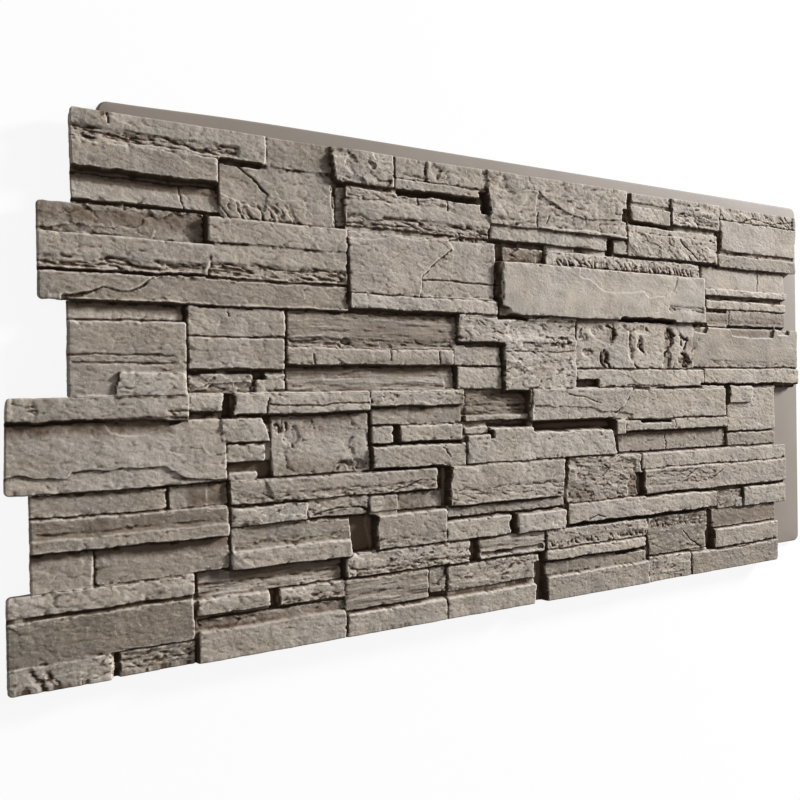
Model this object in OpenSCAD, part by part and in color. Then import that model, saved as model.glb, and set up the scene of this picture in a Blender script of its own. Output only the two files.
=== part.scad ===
// Faux stone wall panel, moulded in one piece, lying on its back.
// X runs along the courses, Y points up the wall and Z points out of the wall.
// A plain backing plate shows as a flange above the stone face and to its right.
// The face overhangs the plate at the left and at the bottom, where it laps the
// flange of the next panel.

/* [Stone face] */
// Width that one panel covers, from one joint to the next
cover_w = 1245; // [900:5:1600]
// Height of one course of stones
course_h = 101.5; // [80:0.5:140]
// Whole thickness, from the back to the highest stone
total_t = 32; // [26:0.5:45]
// Depth of the joints below the highest stone
relief = 19; // [10:0.5:20]
// Slope along the upper and lower edge of each stone
crest = 2; // [0.5:0.1:3]
// Step from the end of a course to the face of its end stone
end_step = 1.5; // [0.5:0.1:4]

/* [Finger ends] */
// How far the first and third courses start behind the longest ones
finger_deep = 65; // [0:1:90]
// How far the second course starts behind the longest ones
finger_upper = 35; // [0:1:90]
// How far the fifth course starts behind the longest ones
finger_lower = 26; // [0:1:90]

/* [Backing plate] */
// Thickness of the backing plate and its flanges
plate_t = 9.5; // [7:0.5:11]
// Height of the flange above the stone face
flange_top = 22; // [16:1:60]
// Width of the flange beyond the longest course
flange_side = 18; // [16:1:60]
// Radius of the plate's corners
corner_r = 12; // [6:1:30]
// Radius of the plate's front edge
edge_r = 3; // [1:0.5:5]

/* [Laps] */
// Depth of the side lap behind the shortest finger
lap_side = 35; // [23:1:80]
// Depth of the lap behind the bottom course
lap_bottom = 24; // [22:1:80]
// Clearance between a lap and the flange below it
lap_gap = 0.5; // [0.2:0.1:1.5]

/* [Hidden] */

fingers = [finger_deep, finger_upper, finger_deep, 0, finger_lower, 0];
courses = len(fingers);
face_h = courses * course_h;
floor_z = total_t - relief;
lap_z = plate_t + lap_gap;
plate_x0 = max(fingers) + lap_side;
plate_x1 = cover_w + max(fingers) + flange_side;
plate_y0 = lap_bottom;
plate_y1 = face_h + flange_top;
edge_steps = 5;
stone_root = 1;
reach = 1;

function course_y0(i) = (courses - 1 - i) * course_h;

// Each stone is [start, end, bottom, top, level]: its ends are measured from the
// left end of its course and follow cover_w, its edges are hundredths of course_h,
// and its level is in tenths of the relief.
STONES_1 = [
    [0, 222, 68, 99, 7], [225, 310, 68, 98, 5], [315, 396, 60, 99, 8],
    [402, 447, 74, 97, 6], [450, 550, 74, 99, 7], [401, 538, 61, 71, 7],
    [553, 813, 29, 99, 9], [830, 913, 87, 98, 6], [826, 912, 58, 79, 7],
    [822, 1029, 42, 50, 6], [820, 1025, 7, 40, 7], [917, 1031, 60, 99, 8],
    [1036, 1245, 80, 99, 6], [1045, 1245, 30, 77, 5], [1035, 1245, 4, 22, 5],
    [0, 163, 38, 66, 8], [0, 166, 7, 32, 3], [168, 315, 5, 66, 5],
    [318, 327, 7, 52, 4], [329, 550, 10, 53, 7], [554, 775, 11, 27, 6],
    [790, 817, 8, 25, 6]
];
STONES_2 = [
    [0, 178, 71, 98, 3], [183, 359, 74, 98, 7], [0, 183, 34, 69, 6],
    [185, 359, 34, 72, 6], [0, 359, 4, 30, 7], [363, 595, 25, 98, 7],
    [363, 599, 8, 22, 8], [610, 681, 81, 97, 3], [685, 1015, 80, 97, 6],
    [603, 1017, 8, 77, 10], [1025, 1245, 65, 98, 3], [1029, 1245, 54, 63, 6],
    [1033, 1245, 32, 44, 5], [1029, 1245, 5, 29, 4]
];
STONES_3 = [
    [0, 122, 83, 97, 3], [0, 124, 2, 79, 7], [46, 122, 3, 24, 9],
    [128, 244, 67, 97, 6], [128, 242, 30, 64, 7], [128, 203, 4, 23, 4],
    [209, 243, 4, 23, 5], [250, 495, 57, 97, 5], [247, 488, 36, 54, 7],
    [248, 483, 5, 32, 3], [498, 707, 68, 98, 8], [575, 707, 4, 72, 8],
    [492, 571, 36, 62, 5], [497, 571, 6, 32, 5], [710, 956, 33, 97, 7],
    [711, 988, 7, 29, 7], [960, 1245, 36, 97, 6], [991, 1245, 9, 31, 7]
];
STONES_4 = [
    [0, 189, 74, 99, 8], [192, 232, 83, 99, 7], [245, 424, 78, 99, 7],
    [0, 233, 4, 72, 6], [230, 288, 46, 72, 6], [236, 282, 23, 42, 5],
    [238, 272, 3, 9, 4], [292, 423, 7, 73, 4], [427, 570, 84, 99, 7],
    [429, 567, 60, 80, 4], [429, 458, 37, 56, 5], [470, 567, 38, 57, 6],
    [428, 571, 5, 32, 7], [578, 681, 66, 99, 3], [574, 681, 61, 67, 6],
    [575, 681, 52, 59, 2], [573, 611, 44, 51, 5], [575, 852, 6, 40, 8],
    [614, 695, 36, 48, 8], [684, 884, 59, 99, 9], [848, 1107, 56, 97, 7],
    [855, 872, 34, 54, 8], [876, 1112, 38, 52, 7], [865, 1112, 8, 33, 3],
    [1118, 1245, 29, 98, 5], [1120, 1175, 77, 99, 7], [1116, 1245, 7, 24, 5]
];
STONES_5 = [
    [0, 139, 77, 98, 4], [143, 209, 76, 98, 4], [0, 208, 50, 73, 7],
    [0, 208, 42, 53, 9], [0, 59, 3, 38, 6], [63, 210, 5, 38, 5],
    [213, 498, 75, 98, 7], [213, 309, 50, 70, 7], [312, 393, 51, 72, 6],
    [396, 436, 52, 70, 7], [439, 511, 50, 70, 4], [214, 369, 18, 47, 5],
    [213, 368, 3, 20, 8], [403, 511, 6, 44, 8], [515, 716, 50, 98, 9],
    [515, 720, 35, 45, 6], [514, 621, 6, 28, 7], [634, 722, 4, 27, 8],
    [725, 879, 38, 98, 7], [728, 1053, 9, 34, 8], [886, 1245, 78, 98, 6],
    [889, 1245, 39, 75, 7], [1065, 1127, 4, 30, 4], [1131, 1245, 4, 31, 6]
];
STONES_6 = [
    [0, 193, 79, 98, 8], [0, 192, 29, 73, 7], [0, 102, 2, 27, 8],
    [109, 193, 3, 26, 6], [201, 382, 73, 98, 3], [199, 284, 54, 70, 7],
    [298, 385, 52, 69, 6], [199, 384, 2, 34, 8], [200, 385, 30, 46, 5],
    [389, 576, 73, 98, 7], [387, 508, 33, 68, 6], [513, 537, 38, 68, 4],
    [541, 697, 37, 68, 6], [388, 534, 3, 27, 8], [538, 695, 3, 27, 8],
    [595, 708, 73, 98, 6], [713, 917, 75, 98, 7], [711, 912, 59, 71, 8],
    [713, 916, 37, 55, 5], [712, 919, 3, 34, 8], [924, 1060, 43, 98, 6],
    [922, 1016, 3, 38, 7], [1022, 1245, 2, 35, 7], [1077, 1245, 72, 98, 4],
    [1078, 1245, 40, 67, 7]
];
STONES = [STONES_1, STONES_2, STONES_3, STONES_4, STONES_5, STONES_6];
// The lists are drawn to the right-hand end of a course
draw_w = max([for (row = STONES) for (s = row) s[1]]);

function percent(n, whole) = whole * n / 100;
function tenths(n, whole) = whole * n / 10;

// Section of the plate's rim, from the centre of a corner out to its edge
function rim_section() = concat(
    [[0, 0], [corner_r, 0]],
    [for (k = [0 : edge_steps])
        [corner_r - edge_r * (1 - cos(90 * k / edge_steps)),
            plate_t - edge_r * (1 - sin(90 * k / edge_steps))]],
    [[0, plate_t]]
);

module rim_side(length) {
    rotate([90, 0, 0])
        linear_extrude(height = length)
            polygon(rim_section());
}

module rim_corner() {
    rotate_extrude(angle = 90, $fn = 48)
        polygon(rim_section());
}

// The backing plate with rounded corners and a rounded front edge
module backing_plate() {
    core_w = plate_x1 - plate_x0 - 2 * corner_r;
    core_h = plate_y1 - plate_y0 - 2 * corner_r;
    translate([plate_x0 + corner_r, plate_y0 + corner_r, 0]) {
        cube([core_w, core_h, plate_t]);
        translate([core_w, core_h, 0]) rim_side(core_h);
        translate([core_w, core_h, 0]) rim_corner();
        translate([0, core_h, 0]) rotate(90) rim_side(core_w);
        translate([0, core_h, 0]) rotate(90) rim_corner();
        rotate(180) rim_side(core_h);
        rotate(180) rim_corner();
        translate([core_w, 0, 0]) rotate(270) rim_side(core_w);
        translate([core_w, 0, 0]) rotate(270) rim_corner();
    }
}

// The courses up to the bottom of the joints, with the laps cut behind them
module course_slabs() {
    difference() {
        for (i = [0 : courses - 1])
            translate([fingers[i], course_y0(i), 0])
                cube([cover_w, course_h, floor_z]);
        translate([-reach, -reach, -reach])
            cube([plate_x0 + reach, face_h + 2 * reach, lap_z + reach]);
        translate([-reach, -reach, -reach])
            cube([plate_x1 + 2 * reach, plate_y0 + reach, lap_z + reach]);
    }
}

// One stone, with sloping upper and lower edges
module stone(s) {
    x0 = max(s[0] / draw_w * cover_w, end_step);
    x1 = min(s[1] / draw_w * cover_w, cover_w - end_step);
    y0 = percent(s[2], course_h);
    y1 = percent(s[3], course_h);
    z1 = floor_z + tenths(s[4], relief);
    c = min(crest, (y1 - y0) / 3, (z1 - floor_z) / 2);
    translate([x0, 0, 0])
        rotate([90, 0, 90])
            linear_extrude(height = x1 - x0)
                polygon([
                    [y0, floor_z - stone_root], [y1, floor_z - stone_root],
                    [y1, z1 - c], [y1 - c, z1], [y0 + c, z1], [y0, z1 - c]
                ]);
}

module stone_courses() {
    for (i = [0 : courses - 1])
        translate([fingers[i], course_y0(i), 0])
            for (s = STONES[i])
                stone(s);
}

// The moulded panel: plate, courses and stones are one solid
module panel() {
    color([0.60, 0.56, 0.51])
        translate([-plate_x1 / 2, -plate_y1 / 2, 0])
            union() {
                backing_plate();
                course_slabs();
                stone_courses();
            }
}

panel();
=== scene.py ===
"""Faux stone wall panel: its moulded stone courses, its backing plate and the stage.

Lengths inside the shape functions are millimetres in the panel's own corner frame:
x from the end of the longest fingers, y up from the lower edge of the stone face and
z out of the flat back. They are written to the meshes in metres in the row frame.
"""
import math

import bpy
import numpy as np
from mathutils import Matrix, Vector


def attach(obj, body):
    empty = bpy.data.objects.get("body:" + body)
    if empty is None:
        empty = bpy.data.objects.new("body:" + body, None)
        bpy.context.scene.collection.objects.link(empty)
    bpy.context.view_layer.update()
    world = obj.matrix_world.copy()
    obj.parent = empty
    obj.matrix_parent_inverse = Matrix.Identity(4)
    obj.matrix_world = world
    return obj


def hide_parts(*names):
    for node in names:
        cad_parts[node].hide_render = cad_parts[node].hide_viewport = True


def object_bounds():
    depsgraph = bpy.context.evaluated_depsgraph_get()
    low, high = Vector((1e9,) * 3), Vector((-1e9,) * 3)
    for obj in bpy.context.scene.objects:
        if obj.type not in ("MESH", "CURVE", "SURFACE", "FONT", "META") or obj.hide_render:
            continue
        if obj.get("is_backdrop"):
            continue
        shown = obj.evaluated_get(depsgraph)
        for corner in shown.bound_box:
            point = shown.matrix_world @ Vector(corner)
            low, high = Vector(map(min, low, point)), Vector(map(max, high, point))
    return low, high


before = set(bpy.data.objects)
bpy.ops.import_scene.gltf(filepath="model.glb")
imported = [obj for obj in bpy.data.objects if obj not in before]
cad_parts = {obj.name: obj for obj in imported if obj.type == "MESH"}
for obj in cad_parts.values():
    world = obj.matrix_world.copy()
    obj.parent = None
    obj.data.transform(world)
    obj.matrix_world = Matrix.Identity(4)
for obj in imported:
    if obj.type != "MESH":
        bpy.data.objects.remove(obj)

bl_info = {
    "name": "Faux stone wall panel",
    "version": (1, 0, 0),
    "blender": (4, 5, 0),
    "location": "View3D > Sidebar > Stone panel",
    "description": "Builds a moulded ledge-stone wall panel on its backing plate",
    "category": "Add Mesh",
}

CAD_LOW, CAD_HIGH = (np.array(corner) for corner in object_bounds())
MM = 0.001
PANEL_NODE = "panel"

# The layout: each course is a list of stones, counted from the top course down.
# A stone is (start, end, bottom, top, level, style, tone, lean_left, lean_right):
# millimetres from the left end of its course, hundredths of a course height,
# tenths of the relief, kind of surface, light or dark tone, and how far the upper
# end of its left and right edge is moved along. Values left out at its end are the
# usual ones.
USUAL_FINISH = ("plain", 0, 0, 0)
COURSE_1 = [
    (-4, 222, 68, 104, 7), (225, 310, 68, 104, 5, "plain", -2),
    (315, 396, 60, 104, 8, "rough", 0, -6), (402, 447, 74, 98, 6),
    (450, 547, 74, 104, 7, "plain", 0, 0, -3), (401, 538, 61, 71, 7, "plain", 0, 0, 8),
    (552, 813, 29, 100, 9, "wave", 0, -5), (830, 913, 87, 104, 6, "plain", 1),
    (826, 912, 58, 79, 7, "plain", 1), (822, 1029, 42, 50, 6, "plain", 1),
    (820, 1025, 7, 40, 7, "cleft", 1), (917, 1031, 60, 104, 8, "flaky", 1),
    (1036, 1250, 80, 104, 6, "cleft"), (1045, 1250, 30, 77, 5, "smooth", 1, -8),
    (1035, 1250, 4, 22, 5, "plain", -2), (-4, 163, 38, 66, 8, "plain", -1),
    (-4, 166, 10, 33, 3), (168, 315, 5, 66, 5, "plain", -1, 0, -5),
    (318, 327, 7, 52, 4, "rough", -1), (329, 550, 10, 53, 7),
    (554, 775, 11, 27, 6, "plain", 1), (790, 817, 8, 25, 6),
]
COURSE_2 = [
    (-4, 178, 72, 101, 3, "rough", -2), (183, 359, 74, 98, 7),
    (-4, 183, 34, 69, 6, "plain", 0, 0, 5), (185, 359, 34, 72, 6, "plain", 0, 5),
    (-4, 359, 4, 30, 7, "plain", -2), (363, 592, 25, 98, 7), (363, 594, 8, 22, 8, "plain", 1),
    (610, 681, 81, 97, 3, "rough", -3), (685, 1015, 80, 97, 6, "flaky", 1),
    (599, 1017, 8, 77, 10, "smooth", 1), (1025, 1250, 65, 98, 3, "smooth"),
    (1029, 1250, 54, 63, 6, "plain", 1), (1033, 1250, 32, 44, 5),
    (1029, 1250, 5, 29, 4, "plain", -1),
]
COURSE_3 = [
    (-4, 122, 83, 97, 3, "plain", 1), (-4, 124, 2, 79, 7, "plain", -1),
    (46, 122, 3, 24, 9, "wave", 1, 4), (128, 244, 67, 97, 6), (128, 242, 30, 64, 7),
    (128, 203, 4, 23, 4, "rough", -1), (209, 243, 4, 23, 5, "rough"),
    (250, 495, 57, 97, 5, "strata", -2), (247, 488, 36, 54, 7),
    (248, 491, 5, 32, 3, "strata", -1), (498, 707, 68, 103, 8, "flaky", 1),
    (575, 707, 4, 72, 8, "flaky", 1), (492, 571, 36, 62, 5), (497, 571, 6, 32, 5, "plain", 1),
    (710, 964, 33, 102, 6.5, "plain", 1), (711, 988, 7, 29, 7, "plain", 1),
    (960, 1250, 36, 97, 6, "smooth", -1), (991, 1250, 9, 31, 7),
]
COURSE_4 = [
    (-4, 189, 74, 99, 8), (192, 232, 83, 99, 7, "plain", 1), (245, 424, 78, 99, 7, "plain", 1),
    (-4, 233, 4, 72, 6), (230, 288, 46, 72, 6, "plain", 1, 0, -10),
    (236, 282, 23, 42, 5, "plain", 1), (238, 272, 3, 9, 4), (292, 423, 7, 73, 4),
    (427, 570, 84, 99, 7, "flaky"), (429, 567, 60, 80, 4, "plain", -2), (429, 458, 37, 56, 5),
    (470, 567, 38, 57, 6), (428, 571, 5, 32, 7), (578, 681, 66, 99, 3, "strata", -2, 0, 3),
    (574, 681, 61, 67, 6), (575, 681, 52, 59, 2, "strata", -2), (573, 611, 44, 51, 5),
    (575, 852, 6, 40, 8, "plain", 1, 0, -8), (614, 695, 36, 48, 8),
    (684, 850, 59, 99, 9, "plain", 0, 0, 38), (848, 1107, 56, 97, 7), (855, 872, 34, 54, 8),
    (876, 1112, 38, 52, 7), (865, 1112, 8, 33, 3, "plain", -2), (1118, 1250, 29, 98, 5),
    (1120, 1175, 77, 99, 7, "plain", 0, 0, 6), (1116, 1250, 7, 24, 5, "plain", -2),
]
COURSE_5 = [
    (-4, 139, 77, 98, 4, "plain", -2), (143, 209, 76, 98, 4, "plain", -2),
    (-4, 208, 50, 73, 7, "plain", -3), (-4, 208, 42, 53, 9, "plain", -1),
    (-4, 59, 3, 38, 6, "plain", -1), (63, 210, 5, 38, 5, "plain", -2),
    (213, 498, 75, 98, 7, "plain", -1), (213, 309, 50, 70, 7, "flaky", 1),
    (312, 393, 51, 72, 6, "flaky"), (396, 436, 52, 70, 7, "plain", 1),
    (439, 511, 50, 70, 4, "plain", -1), (214, 369, 18, 47, 5, "plain", -2),
    (213, 368, 3, 20, 8), (403, 511, 6, 44, 8, "plain", -1, -8),
    (515, 716, 50, 98, 9, "plain", 0, 0, 4), (515, 720, 35, 45, 6, "plain", -1),
    (514, 621, 6, 28, 7, "plain", 1), (634, 722, 4, 27, 8, "plain", 1),
    (725, 879, 38, 98, 7, "rough", -1, 8), (728, 1053, 9, 34, 8), (886, 1250, 78, 98, 6),
    (889, 1250, 39, 75, 7, "plain", -1), (1065, 1127, 4, 30, 4, "rough", -1),
    (1131, 1250, 4, 31, 6),
]
COURSE_6 = [
    (-4, 193, 79, 98, 8, "wave"), (-4, 192, 29, 73, 7, "plain", -3),
    (-4, 102, -4, 27, 8, "flaky"), (109, 193, -4, 26, 6, "flaky", -1),
    (201, 382, 73, 98, 3, "strata", -1), (199, 284, 54, 70, 7), (298, 385, 52, 69, 6, "flaky"),
    (199, 384, -4, 34, 8), (200, 385, 30, 46, 5, "rough", -2),
    (389, 576, 73, 98, 7, "flaky", 1), (387, 508, 33, 68, 6, "strata", -2),
    (513, 537, 38, 68, 4, "rough", -2), (541, 697, 37, 68, 6, "flaky", -1),
    (388, 534, -4, 27, 8), (538, 695, -4, 27, 8), (595, 708, 73, 98, 6, "strata", -1),
    (713, 917, 75, 98, 7, "flaky", -1), (711, 912, 59, 71, 8),
    (713, 916, 37, 55, 5, "plain", -2), (712, 919, -4, 34, 8, "plain", -1),
    (924, 1060, 43, 98, 6, "wave", -3), (922, 1016, -4, 38, 7, "flaky", -1),
    (1022, 1250, -4, 35, 7, "plain", -2), (1077, 1250, 72, 98, 4, "plain", -3),
    (1078, 1250, 40, 67, 7, "plain", -1),
]
COURSES = [COURSE_1, COURSE_2, COURSE_3, COURSE_4, COURSE_5, COURSE_6]
FINGERS = [65.0, 35.0, 65.0, 0.0, 26.0, 0.0]
# How far the left end of each course lies behind its finger's length, in millimetres
# at the course's upper and lower edge
END_INSETS = [(3.2, 4.8), (0.2, 0.0), (-1.6, -2.4), (2.0, -0.6), (-2.8, -3.2), (-0.4, -0.6)]

# Tilts say how far the upper edge of a stone leans back behind its lower edge, in
# millimetres: (course, number of the stone in its list, counted from 0): tilt
TILTS = {
    (1, 16): 3.5, (1, 13): -2.5, (1, 14): 2.0, (1, 17): 1.5, (2, 0): 2.0, (2, 7): 2.0,
    (2, 10): 2.5, (2, 4): 1.5, (3, 0): 2.0, (3, 7): 3.0, (3, 9): 2.5, (3, 12): 2.0,
    (3, 10): 2.0, (4, 3): 5.5, (4, 7): 3.0, (4, 9): 2.5, (4, 13): 2.0, (4, 23): 2.0,
    (4, 24): 1.5, (5, 0): 4.0, (5, 1): 4.0, (5, 2): 2.0, (5, 4): 3.0, (5, 5): 4.0,
    (5, 6): 3.0, (5, 11): 3.0, (5, 22): 2.0, (6, 1): -1.0, (6, 4): 2.5, (6, 20): 2.0,
    (6, 23): 2.5, (6, 15): 1.5, (6, 8): 2.0,
}

# Slots are deep gaps between stones: (left, right, bottom, top, level), millimetres of
# the whole face, and the level is tenths of the relief.
SLOTS = [
    (232, 284, 571, 577, 2), (468, 606, 561, 568, 1), (601, 614, 550, 578, 1),
    (870, 893, 562, 580, 2), (893, 980, 560, 565, 2), (1110, 1210, 530, 536, 2),
    (58, 228, 543, 547, 2), (842, 851, 511, 532, 1), (1092, 1106, 538, 568, 2),
    (26, 215, 437, 440, 3), (215, 396, 436, 439, 4), (862, 985, 409, 414, 1),
    (1062, 1268, 452, 458, 2), (1066, 1118, 431, 437, 2), (1058, 1088, 507, 512, 2),
    (70, 154, 386, 388, 3), (270, 283, 322, 333, 1), (192, 306, 331, 334, 3),
    (441, 458, 362, 368, 4), (575, 641, 366, 370, 3), (636, 641, 325, 366, 2),
    (772, 819, 309, 319, 2), (1046, 1304, 309, 312, 2), (541, 561, 309, 324, 2),
    (-9, 164, 275, 278, 3), (232, 245, 286, 303, 2), (248, 424, 279, 281, 3),
    (236, 290, 246, 248, 3), (236, 279, 216, 224, 1), (461, 469, 241, 261, 3),
    (430, 566, 236, 240, 2), (426, 534, 204, 207, 2), (580, 679, 258, 264, 3),
    (612, 619, 241, 249, 1), (691, 844, 246, 257, 1), (906, 974, 253, 257, 2),
    (859, 864, 216, 231, 3), (1111, 1121, 276, 311, 2), (1112, 1236, 229, 232, 3),
    (534, 544, 151, 204, 2), (397, 431, 104, 149, 1), (241, 335, 173, 175, 3),
    (646, 659, 104, 122, 1), (896, 914, 137, 174, 1), (760, 1083, 102, 107, 1),
    (913, 1268, 135, 139, 3), (541, 748, 132, 135, 3), (105, 111, 3, 26, 2),
    (286, 297, 46, 71, 3), (691, 711, 1, 59, 1), (851, 917, 52, 57, 2),
    (1056, 1077, 41, 67, 1), (576, 592, 76, 97, 3), (596, 706, 77, 83, 4),
]

# Steps are broken layers: (drop in millimetres, corner points of the lower part)
STEPS = [
    (2.8, [(1120, 411), (1130, 393), (1180, 390), (1240, 392), (1247, 411)]),
    (2.8, [(1250, 411), (1254, 397), (1284, 397), (1287, 411)]),
    (2.8, [(1028, 413), (1036, 398), (1064, 396), (1072, 413)]),
    (9.0, [(628, 486), (630, 484), (631, 430), (622, 430), (624, 450)]),
    (6.0, [(626, 430), (633, 427), (640, 422), (650, 416), (662, 413), (684, 410),
           (684, 404), (626, 404)]),
    (0.8, [(780, 489), (778, 471), (800, 468), (812, 458), (830, 452), (870, 452),
           (913, 457), (922, 448), (960, 451), (980, 461), (988, 474), (991, 489)]),
    (1.7, [(503, 431), (505, 455), (530, 478), (545, 485), (557, 497), (546, 508),
           (570, 514), (636, 514), (636, 431)]),
    (1.1, [(396, 498), (440, 500), (470, 508), (500, 503), (530, 510), (548, 509),
           (560, 515), (396, 515)]),
    (1.0, [(229, 577), (253, 571), (275, 556), (290, 540), (286, 520), (229, 538)]),
    (1.3, [(55, 409), (85, 415), (100, 420), (125, 417), (160, 437), (397, 439),
           (397, 409)]),
    (1.6, [(98, 281), (108, 265), (122, 261), (150, 265), (180, 273), (192, 281)]),
    (2.0, [(-5, 203), (-5, 222), (10, 225), (30, 222), (62, 218), (67, 226), (160, 225),
           (185, 212), (200, 209), (236, 207), (236, 203)]),
    (1.5, [(192, 308), (213, 312), (222, 318), (268, 319), (268, 305), (192, 305)]),
    (1.4, [(650, 375), (700, 380), (775, 378), (775, 406), (650, 404), (640, 388)]),
    (1.4, [(282, 205), (285, 196), (292, 180), (330, 176), (212, 174), (212, 205)]),
    (1.3, [(688, 284), (718, 284), (730, 280), (800, 280), (820, 272), (888, 268),
           (888, 258), (688, 258)]),
    (1.6, [(200, 37), (260, 35), (330, 37), (385, 33), (385, 50), (200, 50)]),
    (1.3, [(340, 156), (370, 158), (405, 163), (420, 158), (420, 148), (340, 148)]),
    (1.4, [(700, 592), (725, 578), (760, 563), (800, 560), (884, 566), (884, 540),
           (700, 540)]),
    (1.3, [(1102, 612), (1120, 600), (1160, 603), (1200, 594), (1240, 598), (1302, 586),
           (1302, 614)]),
]

# Bands are strips of broken, flaking edge: (left, right, bottom, top, depth)
BANDS = [
    (62, 255, 578, 593, 4.2), (35, 215, 441, 455, 3.6), (218, 395, 440, 458, 3.8),
    (392, 618, 513, 531, 3.4), (392, 560, 545, 562, 1.8), (968, 1050, 425, 438, 2.4),
    (64, 180, 337, 352, 1.4), (315, 555, 362, 374, 2.4), (390, 555, 398, 408, 2.0),
    (165, 225, 278, 290, 2.4), (5, 32, 278, 302, 1.8), (574, 680, 270, 306, 1.6),
    (240, 540, 176, 190, 2.0), (240, 396, 120, 134, 1.8), (755, 895, 139, 205, 1.4),
    (30, 230, 158, 163, 2.4), (430, 540, 106, 120, 1.6), (915, 1080, 150, 175, 1.8),
    (200, 380, 76, 90, 1.6), (385, 585, 73, 84, 2.2), (925, 1060, 80, 99, 1.6),
    (110, 193, 2, 26, 1.8), (540, 748, 152, 176, 1.8), (984, 1100, 570, 590, 2.0),
    (465, 552, 583, 592, 1.4), (300, 385, 52, 62, 1.8), (1065, 1300, 338, 352, 1.6),
    (1068, 1265, 411, 420, 1.4),
]

# Pockets are worn hollows: (x, y, half width, half height, depth)
POCKETS = [
    (796, 361, 9, 5, 2.0), (789, 386, 9, 9, 1.4), (816, 394, 10, 7, 1.4),
    (895, 398, 34, 6, 1.4), (848, 390, 8, 12, 3.6), (832, 352, 8, 11, 4.4),
    (974, 388, 9, 12, 3.2), (1010, 351, 13, 10, 3.6), (908, 373, 5, 12, 2.4),
    (1008, 380, 8, 9, 2.6), (968, 350, 9, 12, 1.6), (888, 372, 4, 20, 1.4),
    (400, 214, 26, 6, 2.6), (301, 266, 10, 9, 2.4), (318, 251, 10, 12, 1.8),
    (346, 262, 16, 9, 1.2), (391, 366, 8, 6, 3.0), (745, 374, 26, 7, 1.4),
    (530, 597, 16, 9, 1.4),
]

# Scallops are worn hollows that fall gently from the left to a line and rise steeply
# behind it: (reach to the left, depth, points of the line from its lower end up)
SCALLOPS = [
    (15, 4.6, [(845, 373), (852, 379), (857, 388), (851, 396), (840, 402)]),
    (10, 5.4, [(842, 340), (837, 345), (833, 352), (831, 364)]),
    (6, 2.6, [(903, 337), (893, 345), (891, 356), (893, 370), (895, 383), (886, 391)]),
    (7, 3.4, [(916, 358), (915, 366), (911, 377), (904, 388)]),
    (17, 4.8, [(964, 360), (971, 368), (981, 378), (984, 390), (973, 401)]),
    (7, 2.4, [(974, 332), (976, 345), (975, 362)]), (5, 1.6, [(984, 333), (985, 350)]),
    (11, 3.8, [(1003, 360), (1011, 370), (1015, 382), (1003, 391)]),
    (13, 4.6, [(1014, 339), (1022, 344), (1021, 353), (1005, 362)]),
    (18, 2.4, [(1028, 365), (1041, 373), (1047, 386)]),
    (22, 2.0, [(402, 226), (396, 240), (403, 256), (399, 272)]),
    (12, 1.8, [(316, 212), (311, 226), (309, 240)]), (9, 2.6, [(38, 2), (32, 12), (23, 25)]),
    (8, 2.4, [(52, 7), (44, 13), (40, 24)]),
]

# Stain and shade patches are soft brown patches, partly real stains and partly painted
# shade in recesses and painted shadow beside higher stones: (left, right, bottom, top,
# strength)
STAIN_AND_SHADE_PATCHES = [
    (838, 854, 376, 400, 0.5), (822, 836, 337, 364, 0.55), (962, 984, 366, 400, 0.4),
    (964, 976, 335, 360, 0.35), (1000, 1022, 337, 360, 0.45), (1016, 1044, 368, 386, 0.4),
    (888, 896, 350, 386, 0.3), (1125, 1242, 392, 406, 0.35), (35, 212, 490, 508, 0.45),
    (-6, 175, 263, 282, 0.55), (560, 680, 268, 306, 0.3), (300, 425, 255, 282, 0.25),
    (300, 425, 208, 222, 0.3), (400, 560, 362, 392, 0.25), (380, 560, 338, 350, 0.2),
    (440, 510, 152, 172, 0.3), (760, 800, 140, 165, 0.35), (880, 905, 140, 176, 0.4),
    (1065, 1127, 104, 132, 0.3), (1082, 1242, 74, 98, 0.28), (190, 236, 178, 200, 0.45),
    (645, 716, 489, 504, 0.35), (30, 234, 152, 175, 0.25), (1064, 1284, 411, 430, 0.25),
    (204, 380, 32, 46, 0.3),
]

# Flutes are strips of short upright furrows: (left, right, bottom, top, depth)
FLUTES = [
    (228, 345, 507, 535, 2.6), (735, 1048, 485, 502, 3.4), (712, 918, 77, 88, 2.8),
    (556, 618, 507, 531, 2.2), (925, 1050, 82, 99, 2.4),
]

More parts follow.
